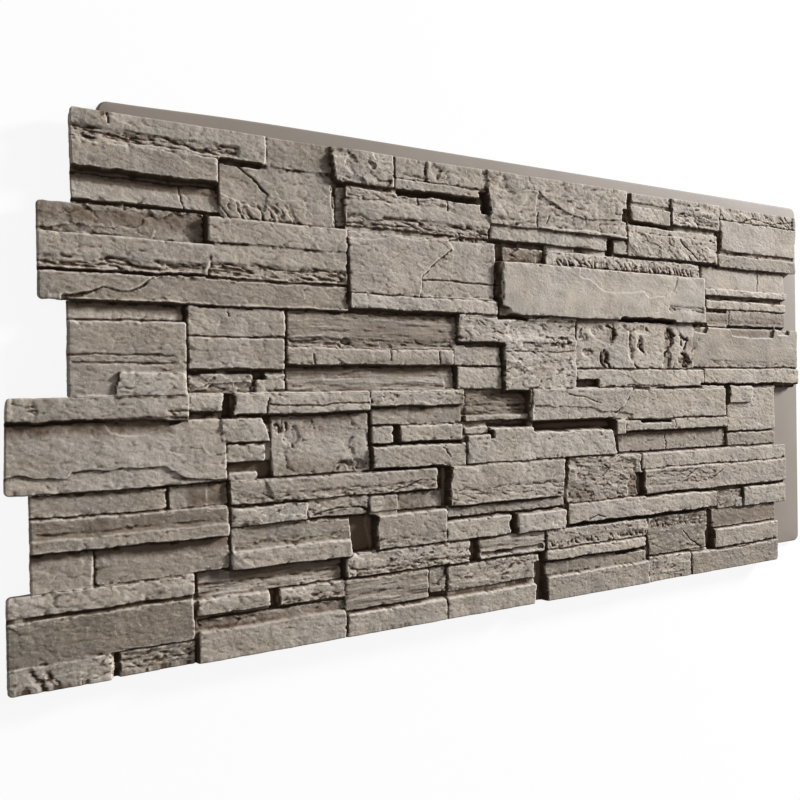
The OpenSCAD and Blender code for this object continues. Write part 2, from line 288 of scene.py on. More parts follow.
# Cracks are (half width, depth, corner points), in millimetres of the face
CRACKS = [
    (1.2, 2.0, [(58, 411), (85, 415), (100, 420), (125, 417), (160, 437)]),
    (1.3, 2.2, [(503, 431), (505, 455), (530, 478), (543, 486), (553, 495)]),
    (1.1, 2.2, [(108, 612), (109, 597)]), (1.0, 1.6, [(187, 541), (189, 514)]),
    (1.2, 2.2, [(253, 571), (275, 556), (290, 540)]), (1.1, 2.0, [(374, 567), (381, 514)]),
    (1.0, 1.8, [(500, 562), (501, 550)]), (1.0, 1.8, [(548, 562), (549, 548)]),
    (1.1, 2.0, [(702, 560), (702, 538)]), (1.0, 1.6, [(720, 545), (725, 556)]),
    (1.1, 2.0, [(1003, 545), (1022, 530), (1045, 515)]),
    (1.2, 1.8, [(508, 453), (570, 452), (632, 451)]),
    (1.1, 1.6, [(1150, 586), (1190, 597), (1240, 592), (1300, 600)]),
    (1.1, 2.2, [(715, 487), (722, 510)]), (1.0, 1.8, [(1206, 470), (1206, 509)]),
    (1.0, 1.8, [(1127, 411), (1127, 437)]), (1.0, 1.2, [(70, 349), (175, 350)]),
    (1.0, 1.4, [(70, 341), (120, 340), (175, 342)]),
    (1.1, 1.8, [(195, 371), (245, 370), (309, 372)]), (1.0, 1.4, [(237, 400), (240, 395)]),
    (1.0, 2.0, [(348, 341), (347, 352)]), (1.0, 1.8, [(455, 346), (456, 359)]),
    (1.1, 2.2, [(532, 341), (532, 359)]), (1.0, 1.2, [(645, 360), (700, 359), (772, 361)]),
    (1.1, 1.8, [(880, 310), (960, 311)]), (1.0, 1.4, [(288, 292), (350, 291), (425, 292)]),
    (1.1, 2.2, [(285, 282), (286, 300)]), (1.0, 1.4, [(428, 262), (565, 262)]),
    (1.0, 1.8, [(534, 231), (545, 218)]), (1.3, 2.6, [(848, 268), (866, 277), (882, 293)]),
    (1.1, 2.2, [(968, 210), (969, 237)]), (1.0, 1.8, [(985, 243), (983, 255)]),
    (1.0, 1.6, [(755, 299), (790, 294), (820, 284)]), (1.1, 2.0, [(684, 262), (685, 306)]),
    (1.1, 1.8, [(165, 178), (166, 200)]), (1.0, 1.6, [(450, 175), (500, 190)]),
    (1.1, 2.0, [(345, 155), (375, 161), (405, 162), (418, 158)]),
    (1.0, 1.6, [(795, 112), (810, 116), (825, 112)]),
    (1.1, 1.8, [(912, 178), (1080, 179), (1260, 178)]), (1.0, 1.6, [(1010, 160), (1035, 172)]),
    (1.0, 1.6, [(1070, 155), (1100, 170)]), (1.1, 1.6, [(712, 57), (850, 57)]),
    (1.0, 1.8, [(1020, 2), (1020, 38)]), (1.2, 1.8, [(1005, 75), (1020, 58), (1045, 45)]),
    (1.2, 2.0, [(920, 42), (1030, 38), (1140, 35), (1225, 39)]),
]


class PanelSizes(bpy.types.PropertyGroup):
    """Sizes of the panel"""
    cover_width: bpy.props.FloatProperty(
        name="Cover width", description="Width of one course, from end to end",
        default=1.245, min=0.5, unit="LENGTH")
    course_height: bpy.props.FloatProperty(
        name="Course height", description="Height of one course of stones",
        default=0.1015, min=0.05, unit="LENGTH")
    relief: bpy.props.FloatProperty(
        name="Relief", description="Depth of the joints below the highest stone",
        default=0.019, min=0.005, unit="LENGTH")
    plate_thickness: bpy.props.FloatProperty(
        name="Plate thickness", description="Thickness of the backing plate",
        default=0.0095, min=0.004, unit="LENGTH")
    lap_clearance: bpy.props.FloatProperty(
        name="Lap clearance", description="Gap between a lap and the flange below it",
        default=0.0005, min=0.0, unit="LENGTH")
    side_lap: bpy.props.FloatProperty(
        name="Side lap", description="From the longest finger's end to the plate",
        default=0.100, min=0.03, unit="LENGTH")
    bottom_lap: bpy.props.FloatProperty(
        name="Bottom lap", description="From the lower edge of the face to the plate",
        default=0.024, min=0.01, unit="LENGTH")
    plate_corner: bpy.props.FloatProperty(
        name="Plate corner", description="Radius of the plate's corners",
        default=0.012, min=0.002, unit="LENGTH")
    plate_edge: bpy.props.FloatProperty(
        name="Plate edge", description="Radius of the plate's front edge",
        default=0.003, min=0.0005, unit="LENGTH")


class PanelColours(bpy.types.PropertyGroup):
    """Colours of the panel"""
    stone: bpy.props.FloatVectorProperty(
        name="Stone", description="Colour of the stone faces", subtype="COLOR",
        size=4, default=(0.345, 0.302, 0.257, 1.0), min=0.0, max=1.0)
    # Pale dry-brush on the raised edges, partly a painted highlight; the light stones take this
    # colour too
    light_stone_and_highlight: bpy.props.FloatVectorProperty(
        name="Light stone", description="Dry-brushed colour on the raised edges",
        subtype="COLOR", size=4, default=(0.55, 0.505, 0.452, 1.0), min=0.0, max=1.0)
    stone_dark: bpy.props.FloatVectorProperty(
        name="Dark stone", description="Colour of the darker stones", subtype="COLOR",
        size=4, default=(0.182, 0.152, 0.121, 1.0), min=0.0, max=1.0)
    # Brown stain in the hollows, which also paints shade into recesses, under higher stones and
    # in their shadow
    stain_and_shade: bpy.props.FloatVectorProperty(
        name="Stain", description="Brown stain around the joints and hollows",
        subtype="COLOR", size=4, default=(0.118, 0.077, 0.049, 1.0), min=0.0, max=1.0)
    # Dark wash in the joints, which also paints shade on steep walls that face away from the
    # key lamp
    joint: bpy.props.FloatVectorProperty(
        name="Joints", description="Dark wash in the joints and hollows",
        subtype="COLOR", size=4, default=(0.031, 0.0165, 0.0078, 1.0), min=0.0, max=1.0)
    flange: bpy.props.FloatVectorProperty(
        name="Flange", description="Colour of the plain backing plate", subtype="COLOR",
        size=4, default=(0.235, 0.200, 0.170, 1.0), min=0.0, max=1.0)


def millimetres(length):
    """A length property in millimetres."""
    return length / MM


def hashed(ix, iy, seed):
    """A repeatable number from 0 to 1 for each lattice point and seed."""
    n = (ix * 374761393 + iy * 668265263 + seed * 982451653) & 0xFFFFFFFF
    n = ((n ^ (n >> 13)) * 1274126177) & 0xFFFFFFFF
    n = ((n ^ (n >> 16)) * 2246822519) & 0xFFFFFFFF
    return ((n ^ (n >> 15)) & 0xFFFFFF) / float(0xFFFFFF)


def noise(x, y, seed):
    """Smooth noise from -1 to 1: lattice values blended by 6t^5 - 15t^4 + 10t^3."""
    ix, iy = np.floor(x).astype(np.int64), np.floor(y).astype(np.int64)
    fx, fy = x - ix, y - iy
    sx = fx ** 3 * (fx * (fx * 6 - 15) + 10)
    sy = fy ** 3 * (fy * (fy * 6 - 15) + 10)
    low = hashed(ix, iy, seed) * (1 - sx) + hashed(ix + 1, iy, seed) * sx
    high = hashed(ix, iy + 1, seed) * (1 - sx) + hashed(ix + 1, iy + 1, seed) * sx
    return 2 * (low * (1 - sy) + high * sy) - 1


def layered_noise(x, y, seed, layers=4, gain=0.5):
    """Sum of noises, each twice as fine and gain times as strong as the last."""
    total, strength, whole = 0.0, 1.0, 0.0
    for k in range(layers):
        total = total + strength * noise(x * 2 ** k + 17.3 * k, y * 2 ** k + 9.1 * k, seed + k)
        whole += strength
        strength *= gain
    return total / whole


def smooth(value, low, high):
    """0 below low, 1 above high, and 3t^2 - 2t^3 between them."""
    t = np.clip((value - low) / (high - low), 0, 1)
    return t * t * (3 - 2 * t)


def terraces(value, count, soft):
    """Stairs of equal steps, each riser taking the share soft of its tread."""
    scaled = value * count
    base = np.floor(scaled)
    return (base + smooth(scaled - base, 1 - soft, 1)) / count


def box_distance(x, y, x0, x1, y0, y1, radius):
    """Signed distance to a rectangle with rounded corners, negative inside."""
    dx = np.maximum(x0 - x, x - x1) + radius
    dy = np.maximum(y0 - y, y - y1) + radius
    return (np.minimum(np.maximum(dx, dy), 0)
            + np.hypot(np.maximum(dx, 0), np.maximum(dy, 0)) - radius)


def line_distance(x, y, a, b):
    """Distance from each point to the straight stretch from a to b."""
    ax, ay = a
    ex, ey = b[0] - ax, b[1] - ay
    t = np.clip(((x - ax) * ex + (y - ay) * ey) / (ex * ex + ey * ey), 0, 1)
    return np.hypot(x - ax - t * ex, y - ay - t * ey)


def creases(x, y, seed):
    """Sharp valleys, from 0 at their foot to 1: the size of a smooth noise."""
    return np.minimum(np.abs(layered_noise(x, y, seed, 3)) * 3.2, 1)


def facets(x, y, seed):
    """Chiselled planes: each point takes the height and slope of the nearest of some
    scattered centres, one in each lattice square."""
    ix, iy = np.floor(x).astype(np.int64), np.floor(y).astype(np.int64)
    nearest = np.full(x.shape, 99.0)
    height = np.zeros(x.shape)
    for dx in (-1, 0, 1):
        for dy in (-1, 0, 1):
            jx, jy = ix + dx, iy + dy
            ax, ay = x - jx - hashed(jx, jy, seed), y - jy - hashed(jx, jy, seed + 1)
            away = ax * ax + ay * ay
            closer = away < nearest
            plane = (hashed(jx, jy, seed + 2) - 0.5
                     + 1.1 * ax * (hashed(jx, jy, seed + 3) - 0.5)
                     + 1.1 * ay * (hashed(jx, jy, seed + 4) - 0.5))
            nearest = np.where(closer, away, nearest)
            height = np.where(closer, plane, height)
    return 2 * height


def skin(x, y, seed):
    """The fine lumps and nicks that every stone has."""
    bend = 3 * layered_noise(x / 14, y / 9, seed + 6, 2)
    wrinkles = creases((x + bend) / 17, (y - bend) / 6.5, seed + 8) - 1
    nicks = creases((x - bend) / 8, (y + bend) / 4.5, seed + 10) - 1
    return (0.30 * layered_noise(x / 7, y / 4, seed + 5, 3)
            + 0.16 * noise(x / 3.4, y / 2.4, seed + 7) + 0.52 * wrinkles + 0.30 * nicks)


def surface_plain(x, y, seed):
    """Gentle waves and a few broad planes under the skin."""
    bend = 6 * layered_noise(x / 26, y / 18, seed + 9, 3)
    return (0.8 * layered_noise(x / 48, y / 19, seed, 3) + skin(x, y, seed)
            + 0.28 * facets((x + bend) / 34, (y + 0.6 * bend) / 15, seed + 30))


def surface_smooth(x, y, seed):
    """Broad gentle waves under a fainter skin."""
    return 0.9 * layered_noise(x / 60, y / 26, seed, 3) + 0.62 * skin(x, y, seed)


def surface_rough(x, y, seed):
    """Chiselled lumps and creases over gentle waves."""
    bend = 6 * layered_noise(x / 20, y / 14, seed + 9, 4)
    return (0.9 * layered_noise(x / 40, y / 22, seed, 3)
            + 1.1 * facets((x + bend) / 22, (y + 0.7 * bend) / 12, seed + 30)
            + 0.30 * facets((x - bend) / 10, (y + bend) / 6, seed + 40)
            + 0.4 * (creases((x + bend) / 26, (y - bend) / 12, seed + 12) - 1)
            + skin(x, y, seed))


def surface_flaky(x, y, seed):
    """Broken layers: stairs cut in a bent slow noise, under the skin."""
    bend = 6 * layered_noise(x / 26, y / 18, seed + 9, 3)
    level = 0.5 + 0.66 * layered_noise((x + bend) / 46, (y + 0.6 * bend) / 15, seed, 4)
    return (3.6 * (terraces(level, 4, 0.07) - 0.62) + skin(x, y, seed)
            + 0.35 * facets((x + bend) / 16, (y + bend) / 8, seed + 30))


def surface_strata(x, y, seed):
    """Thin beds that run along the course: noise drawn out to twelve to one."""
    bend = 3.2 * layered_noise(x / 60, y / 40, seed + 9, 2)
    beds = layered_noise(x / 85, (y + bend) / 6.8, seed, 4, 0.55)
    breaks = creases((x + 3 * bend) / 70, (y + bend) / 7, seed + 12) - 1
    return (1.0 * beds + 1.9 * (terraces(0.5 + 0.6 * beds, 4, 0.07) - 0.6)
            + 0.6 * breaks + 0.6 * skin(x, y, seed))


def surface_cleft(x, y, seed):
    """Broken beds that cross the stone on a slant."""
    bend = 7 * layered_noise(x / 30, y / 22, seed + 9, 3)
    along, across = 0.83 * x - 0.56 * y + bend, 0.56 * x + 0.83 * y + 0.7 * bend
    level = 0.5 + 0.66 * layered_noise(along / 46, across / 16, seed, 4)
    return (3.4 * (terraces(level, 4, 0.07) - 0.62) + skin(x, y, seed)
            + 0.35 * facets((x + bend) / 16, (y + bend) / 8, seed + 30))


def surface_wave(x, y, seed):
    """Deep rounded ripples, as on a weathered cleft face."""
    bend = 12 * layered_noise(x / 60, y / 40, seed + 9, 3)
    ripple = layered_noise((x + bend) / 34, (y - 0.35 * x + bend) / 15, seed, 3)
    valleys = creases((x + bend) / 30, (y + bend) / 12, seed + 12) - 1
    return 2.2 * ripple - 0.8 + 0.9 * valleys + skin(x, y, seed)


SURFACES = {
    "plain": surface_plain, "smooth": surface_smooth, "rough": surface_rough,
    "flaky": surface_flaky, "strata": surface_strata, "cleft": surface_cleft,
    "wave": surface_wave,
}


class Face:
    """The stone face as heights on a fine even raster, and masks for its wash, dry-brush and
    tone, which also carry painted shade and painted highlight.
    """
    # Raster: distance between its points, and how far it runs beyond the face
    step = 0.75
    margin = 6.0
    # Stones: radius of the corners, radius along the edges, steepness of the walls and
    # how far the outline is grown
    corner_radius = 1.6
    crest_radius = 1.1
    wall_slope = 6.0
    grow = 1.1
    # Joints: half of the widest one that is filled, in raster steps, and their depth
    close_reach = 5
    joint_depth = 2.8
    # Broken layers: from which drop they are deep, and how wide their slopes are
    deep_step = 3
    step_slope, deep_slope = 0.8, 4.5
    # Reach of the shade below a higher stone in raster steps, and the slope of its line
    shade_steps = 20
    shade_slope = 0.4
    # The course width that the lists of stones are drawn to
    draw_width = 1245.0

    def __init__(self, sizes):
        self.cover = millimetres(sizes.cover_width)
        self.course = millimetres(sizes.course_height)
        self.relief = millimetres(sizes.relief)
        self.height = self.course * len(COURSES)
        self.top = CAD_HIGH[2] / MM
        self.floor = self.top - self.relief
        self.width = self.cover + max(FINGERS)
        xs = np.arange(-self.margin, self.width + self.margin, self.step)
        ys = np.arange(-self.margin, self.height + self.margin, self.step)
        self.x, self.y = np.meshgrid(xs, ys)
        self.u = self.x + self.warp_x(self.x, self.y)
        self.v = self.y + self.warp_y(self.x, self.y)
        self.z = self.floor + 0.7 * layered_noise(self.x / 11, self.y / 6, 901, 3)
        self.tone = np.zeros_like(self.z)
        self.lay_stones()
        self.fill_joints()
        self.break_edges()
        self.cut_flutes()
        self.cut_steps()
        self.cut_pockets()
        self.cut_scallops()
        self.cut_cracks()
        self.cut_slots()
        self.z = np.clip(self.z, self.floor - 1.0, self.top - 0.1)
        self.make_masks()

    @staticmethod
    def warp_x(x, y):
        """How far an upright joint wanders, from two sizes of noise."""
        return (1.6 * layered_noise(x / 36, y / 30, 311, 3)
                + 0.6 * layered_noise(x / 8, y / 8, 312, 3))

    @staticmethod
    def warp_y(x, y):
        """How far a level joint wanders, from two sizes of noise."""
        return (1.5 * layered_noise(x / 44, y / 20, 411, 3)
                + 0.6 * layered_noise(x / 10, y / 8, 412, 3))

    def base(self, index):
        """Height of a course's lower edge above the lower edge of the face."""
        return (len(COURSES) - 1 - index) * self.course

    def stones(self):
        """Each stone as its rectangle in millimetres of the face, with its style, tone, leans
        and tilt.
        """
        scale = self.cover / self.draw_width
        for index, course in enumerate(COURSES):
            for number, stone in enumerate(course):
                start, end, low, high, level = stone[:5]
                style, tone, lean_l, lean_r = stone[5:] + USUAL_FINISH[len(stone) - 5:]
                tilt = TILTS.get((index + 1, number), 0.0)
                low -= 2 if low < 12 else 0
                high += 2 if high > 94 else 0
                yield (FINGERS[index] + start * scale, FINGERS[index] + end * scale,
                       self.base(index) + low * self.course / 100,
                       self.base(index) + high * self.course / 100,
                       self.floor + level * self.relief / 10, style, tone, lean_l, lean_r,
                       tilt)

    def lay_stones(self):
        """Each stone's top is its level plus its surface, rounded off along the edge
        and falling steeply outside it; the face is the highest of them all."""
        reach = 4.0
        for number, stone in enumerate(self.stones()):
            x0, x1, y0, y1, level, style, tone, lean_l, lean_r, back = stone
            rows = slice(*np.searchsorted(self.y[:, 0], (y0 - reach, y1 + reach)))
            left, right = x0 - reach + min(lean_l, 0), x1 + reach + max(lean_r, 0)
            cols = slice(*np.searchsorted(self.x[0], (left, right)))
            u, v = self.u[rows, cols], self.v[rows, cols]
            x, y = self.x[rows, cols], self.y[rows, cols]
            share = (v - y0) / (y1 - y0)
            away = box_distance(u, v, x0 + lean_l * share, x1 + lean_r * share, y0, y1,
                                self.corner_radius) - self.grow
            seed = 1000 + 37 * number
            surface = SURFACES[style](x, y, seed)
            lean = back + hashed(number, 3, 7) - 0.5
            tilt = lean * (0.4 - np.clip(share, 0, 1))
            chips = smooth(layered_noise(x / 11, y / 7, seed + 21, 3), 0.0, 0.55)
            chipped = 2.4 * chips * np.exp(np.minimum(away, 0) / 2.6)
            inside = np.clip(away + self.crest_radius, 0, self.crest_radius)
            rounding = self.crest_radius - np.sqrt(self.crest_radius ** 2 - inside ** 2)
            fall = self.wall_slope * np.maximum(away, 0)
            top = level + surface + tilt - chipped - rounding - fall
            higher = top > self.z[rows, cols]
            self.z[rows, cols][higher] = top[higher]
            self.tone[rows, cols][higher & (away < 1)] = tone / 3

    @staticmethod
    def closed(values, reach):
        """Values with their narrow valleys filled, by a running maximum and then a
        running minimum over reach cells to each side."""
        for pick in (np.maximum, np.minimum):
            for axis in (0, 1):
                widened = values
                for shift in range(1, reach + 1):
                    for sign in (-1, 1):
                        widened = pick(widened, np.roll(values, sign * shift, axis))
                values = widened
        return values

    def fill_joints(self):
        """Joints narrower than twice the reach are only as deep as the joint depth below
        the lower of their neighbours."""
        depth = self.joint_depth + 1.4 * layered_noise(self.x / 25, self.y / 25, 977, 3)
        self.z = np.maximum(self.z, self.closed(self.z, self.close_reach) - depth)

    def window(self, x0, x1, y0, y1, reach):
        """Rows and columns of the raster that cover a rectangle and its surroundings."""
        rows = slice(*np.searchsorted(self.y[:, 0], (y0 - reach, y1 + reach)))
        cols = slice(*np.searchsorted(self.x[0], (x0 - reach, x1 + reach)))
        return rows, cols

    def ragged(self, rows, cols, seed):
        """The window's points, shifted by a noise of three sizes for a broken outline."""
        x, y = self.x[rows, cols], self.y[rows, cols]
        return (self.u[rows, cols] + 3.2 * layered_noise(x / 17, y / 12, seed, 4),
                self.v[rows, cols] + 1.9 * layered_noise(x / 17, y / 9, seed + 1, 4))

    def break_edges(self):
        """Each band is eaten by creases and flakes, fading out along its edges."""
        for number, (x0, x1, y0, y1, depth) in enumerate(BANDS):
            rows, cols = self.window(x0, x1, y0, y1, 8)
            x, y = self.ragged(rows, cols, 5000 + 3 * number)
            away = box_distance(x, y, x0, x1, y0, y1, 3)
            seed = 5100 + 7 * number
            slant = x + 2.2 * y
            flakes = terraces(0.5 + 0.7 * layered_noise(slant / 30, y / 7, seed, 3), 3, 0.07)
            broken = 0.65 * (1 - flakes) + 0.55 * (1 - creases(slant / 27, y / 6, seed + 4))
            self.z[rows, cols] -= depth * broken * (1 - smooth(away, -3.5, 1.0))

    def cut_flutes(self):
        """Each strip of flutes is furrowed upright, fading out upwards and at its edges."""
        for number, (x0, x1, y0, y1, depth) in enumerate(FLUTES):
            rows, cols = self.window(x0, x1, y0, y1, 8)
            x, y = self.ragged(rows, cols, 9000 + 3 * number)
            away = box_distance(x, y, x0, x1, y0, y1, 3)
            bent = x + 0.4 * y + 4 * layered_noise(x / 16, y / 10, 9300 + number, 3)
            furrows = 1 - creases(bent / 9, y / 34, 9100 + 7 * number)
            reach = 3.5 + 2.5 * noise(x / 5, y / 60, 9200 + number)
            upward = np.clip((y1 + 2 - y) / (y1 - y0), 0, 1)
            self.z[rows, cols] -= depth * furrows * upward * (1 - smooth(away, -reach, 0.5))

    def cut_steps(self):
        """Each step lowers the inside of its polygon, with a steep ragged edge."""
        for number, (drop, points) in enumerate(STEPS):
            px, py = np.array(points, float).T
            rows, cols = self.window(px.min(), px.max(), py.min(), py.max(), 6)
            x, y = self.ragged(rows, cols, 6000 + 3 * number)
            inside = np.zeros(x.shape, bool)
            away = np.full(x.shape, 99.0)
            for a, b in zip(points, points[1:] + points[:1]):
                away = np.minimum(away, line_distance(x, y, a, b))
                crossed = (a[1] > y) != (b[1] > y)
                rise = b[1] - a[1] if b[1] != a[1] else 1.0
                inside ^= crossed & (x < a[0] + (b[0] - a[0]) * (y - a[1]) / rise)
            signed = np.where(inside, -away, away)
            slope = self.step_slope if drop < self.deep_step else self.deep_slope
            self.z[rows, cols] -= 1.35 * drop * (1 - smooth(signed, -slope, 0.4))

    def cut_pockets(self):
        """Each pocket is an oval whose rim is torn by a noise as strong as the oval is
        deep, so that it breaks up into uneven hollows with sloping sides."""
        for number, (cx, cy, wide, high, depth) in enumerate(POCKETS):
            rows, cols = self.window(cx - wide, cx + wide, cy - high, cy + high, 9)
            x, y = self.x[rows, cols], self.y[rows, cols]
            oval = 1 - ((x - cx) / wide) ** 2 - ((y - cy) / high) ** 2
            bent = x + 5 * layered_noise(x / 12, y / 9, 9400 + number, 3)
            rim = layered_noise(bent / 9, y / 17, 9500 + number, 4)
            torn = 0.7 * np.clip(oval, -1, 1) + 2.9 * rim
            broken = 0.35 * (1 - creases(bent / 13, y / 15, 9600 + number))
            hollow = smooth(torn, -0.3, 1.1) + broken
            self.z[rows, cols] -= 1.15 * depth * hollow * smooth(oval, -1.3, 0.3)

    def cut_scallops(self):
        """Each scallop is as deep as its share of the way to its line, to the power 1.3,
        and rises again behind it. A noise bends the line and lets it come and go, and it
        fades out beyond the line's ends."""
        for number, (reach, depth, points) in enumerate(SCALLOPS):
            px, py = np.array(points, float).T
            rows, cols = self.window(px.min() - reach, px.max(), py[0], py[-1], 8)
            x, y = self.x[rows, cols], self.y[rows, cols]
            behind = (x + 5.5 * layered_noise(x / 8, y / 6, 9700 + number, 4)
                      - np.interp(y, py, px))
            wall = 2.6 + 1.6 * noise(x / 7, y / 4, 9720 + number)
            near = np.clip(1 + behind / reach, 0, 1) ** 1.3 * np.clip(1 - behind / wall, 0, 1)
            coming = layered_noise(x / 12, y / 7, 9740 + number, 2)
            comes = 0.3 + 0.7 * smooth(coming, -0.4, 0.3)
            ends = smooth(y, py[0] - 5, py[0] + 3) * (1 - smooth(y, py[-1] - 3, py[-1] + 5))
            self.z[rows, cols] -= 0.8 * depth * near * comes * ends

    def cut_cracks(self):
        """Each crack lowers the face by its depth, fading out over its width."""
        for number, (width, depth, points) in enumerate(CRACKS):
            px, py = np.array(points, float).T
            rows, cols = self.window(px.min(), px.max(), py.min(), py.max(), 6)
            x, y = self.ragged(rows, cols, 7000 + 3 * number)
            away = np.min([line_distance(x, y, a, b)
                           for a, b in zip(points, points[1:])], axis=0)
            self.z[rows, cols] -= depth * (1 - smooth(away, 0.2 * width, 1.3 * width))

    def cut_slots(self):
        """Each slot is cut down to its level, with steep ragged walls."""
        for number, (x0, x1, y0, y1, level) in enumerate(SLOTS):
            rows, cols = self.window(x0, x1, y0, y1, 5)
            x, y = self.ragged(rows, cols, 8000 + 3 * number)
            narrow = min(0.4 * min(x1 - x0, y1 - y0), 1.6)
            away = box_distance(x, y, x0, x1, y0, y1, narrow)
            bottom = self.floor + level * self.relief / 10 + 0.6 * noise(x / 6, y / 5, 8100)
            self.z[rows, cols] = np.minimum(self.z[rows, cols],
                                            bottom + 8 * np.maximum(away + 0.4, 0))

    def blurred(self, values, sigma):
        """A Gaussian blur of sigma millimetres, by Fourier transform."""
        fy = np.fft.fftfreq(values.shape[0], self.step)[:, None]
        fx = np.fft.rfftfreq(values.shape[1], self.step)[None, :]
        damp = np.exp(-2 * (math.pi * sigma) ** 2 * (fx ** 2 + fy ** 2))
        return np.fft.irfft2(np.fft.rfft2(values) * damp, s=values.shape)

    def overshadowed(self):
        """How far each point lies below a line that falls by 0.4 for each millimetre
        from any point up to 15 mm above it, or to its right."""
        highest = self.z
        for shift in range(1, self.shade_steps + 1):
            fall = self.shade_slope * shift * self.step
            above, beside = np.roll(self.z, -shift, axis=0), np.roll(self.z, -shift, axis=1)
            highest = np.maximum(highest, np.maximum(above, beside) - fall)
        return highest - self.z

    def make_masks(self):
        """Hollow is how deep a narrow valley is, or how far a point lies below its wider
        surroundings, or how steep a wall is that faces down or to the left, or how far it
        lies in the shelter of a higher stone; raised is how far a point lies above its
        near surroundings. The hollow mask paints a dark wash with painted shade into the
        narrow valleys, painted shade into the recesses, the deep gaps and the walls that
        face away from the key lamp, and a painted shadow below and to the left of higher
        stones. The raised mask paints a pale dry-brush on the crests that is also a
        painted highlight. The stain and shade patches add to the hollow mask."""
        # Narrow valleys: a dark wash, partly painted shade
        narrow = smooth(self.closed(self.z, 3) - self.z, 0.14, 1.35)
        near, wide = self.blurred(self.z, 2.6), self.blurred(self.z, 8.0)
        # Recesses below their surroundings: painted shade with the wash
        broad = smooth(0.5 * near + 0.5 * wide - self.z, 0.9, 4.2)
        # Deep gaps near the floor: painted shade
        deep = 0.5 * smooth(self.floor + 4.0 - self.z, 0.0, 3.0)
        down, left = np.gradient(self.z, self.step)
        # Steep walls that face down or to the left, away from the key lamp: painted shade
        under = 0.88 * smooth(np.maximum(down, 0.8 * left), 0.6, 2.0)
        # Points sheltered by a higher stone: painted shadow
        painted_shadow = 0.44 * smooth(self.overshadowed(), 0.5, 6.0)
        self.hollow = np.max([narrow, broad, deep, under, painted_shadow], axis=0)
        # Crests: pale dry-brush, partly a painted highlight
        self.raised = smooth(self.z - self.blurred(self.z, 1.2), 0.05, 0.45)
        self.tone = self.blurred(self.tone, 0.9)
        # The patches add soft brown to the hollow mask: some are stains, the others painted
        # shade and shadow
        for x0, x1, y0, y1, strength in STAIN_AND_SHADE_PATCHES:
            rows, cols = self.window(x0, x1, y0, y1, 12)
            x, y = self.x[rows, cols], self.y[rows, cols]
            away = box_distance(x, y, x0, x1, y0, y1, 4)
            patchy = 0.75 + 0.5 * layered_noise(x / 12, y / 8, 71, 3)
            stain_and_shade_patch = strength * patchy * (1 - smooth(away, -6, 5))
            self.hollow[rows, cols] = np.maximum(self.hollow[rows, cols], stain_and_shade_patch)

    def sample(self, values, x, y):
        """Values between the raster's points, blended in both directions."""
        gx = np.clip((x + self.margin) / self.step, 0, values.shape[1] - 1.001)
        gy = np.clip((y + self.margin) / self.step, 0, values.shape[0] - 1.001)
        ix, iy = gx.astype(int), gy.astype(int)
        fx, fy = gx - ix, gy - iy
        low = values[iy, ix] * (1 - fx) + values[iy, ix + 1] * fx
        high = values[iy + 1, ix] * (1 - fx) + values[iy + 1, ix + 1] * fx
        return low * (1 - fy) + high * fy


def new_mesh(name, points, corners, counts, finish_and_painted_light=None):
    """A mesh object from points in millimetres of the corner frame, one flat list
    of corner indices, the number of corners of each face, and point colours that carry
    the wash, dry-brush and tone together with painted shade and painted highlight."""
    mesh = bpy.data.meshes.new(name)
    place = points * MM + np.array([CAD_LOW[0], CAD_LOW[1], 0.0])
    starts = np.concatenate([[0], np.cumsum(counts)[:-1]])
    mesh.vertices.add(len(points))
    mesh.vertices.foreach_set("co", place.astype(np.float32).ravel())
    mesh.loops.add(len(corners))
    mesh.loops.foreach_set("vertex_index", corners.astype(np.int32))
    mesh.polygons.add(len(counts))
    mesh.polygons.foreach_set("loop_start", starts.astype(np.int32))
    mesh.polygons.foreach_set("use_smooth", np.ones(len(counts), bool))
    mesh.update(calc_edges=True)
    # The point colours carry the wash, the dry-brush and the tone together with painted shade
    # and painted highlight
    if finish_and_painted_light is not None:
        layer = mesh.color_attributes.new("finish_and_painted_light", "FLOAT_COLOR", "POINT")
        layer.data.foreach_set("color", finish_and_painted_light.astype(np.float32).ravel())
    if mesh.validate():
        raise RuntimeError("the mesh %s had faulty faces" % name)
    piece = bpy.data.objects.new(name, mesh)
    bpy.context.scene.collection.objects.link(piece)
    return piece


# Mesh of a course: distance between its columns, its rows, and the rows of its walls
COLUMN = 1.5
ROWS = 88
SKIRT_ROWS = 5
# The first joint lies higher by JOINT_RISE, fading out between two distances along x
JOINT_RISE = 2.8
RISE_FADES = (190, 225)
# A course's rounded free edges and corners
EDGE_RADIUS = 1.6
END_RADIUS = 5.0
# Near its ends and its free edges a course takes the heights from further in
END_MARGIN = 2.5
LOW_MARGIN = 4.5
HIGH_MARGIN = 4.0
# How far the moves of a course's ends reach along it, and how deep its foot is buried
INSET_REACH = 14
WANDER_REACH = 5
BURIED = 0.6


def border(face, index, x):
    """Height of the joint above course index, wandering as the stones' edges do.
    The lower edge of the whole face wanders only upwards, the upper edge lies about a
    millimetre above its line, and the first joint lies higher near the left end."""
    line = face.height - index * face.course
    if index == 0:
        return line + 0.9 - 0.6 * layered_noise(x / 22, x * 0 + 3.7, 55, 3)
    if index == len(COURSES):
        return line + 0.35 + 0.35 * layered_noise(x / 22, x * 0 + 8.2, 56, 3)
    raised = JOINT_RISE * (1 - smooth(x, *RISE_FADES)) if index == 1 else 0.0
    return line + raised - face.warp_y(x, np.full_like(x, line))


def free_share(x, other, cover):
    """1 where the course has no neighbour at that edge, 0 where it has."""
    if other < 0 or other >= len(COURSES):
        return np.ones_like(x)
    start, end = FINGERS[other], FINGERS[other] + cover
    return np.maximum(1 - smooth(x, start - 2.5, start - 0.2), smooth(x, end + 0.2, end + 2.5))


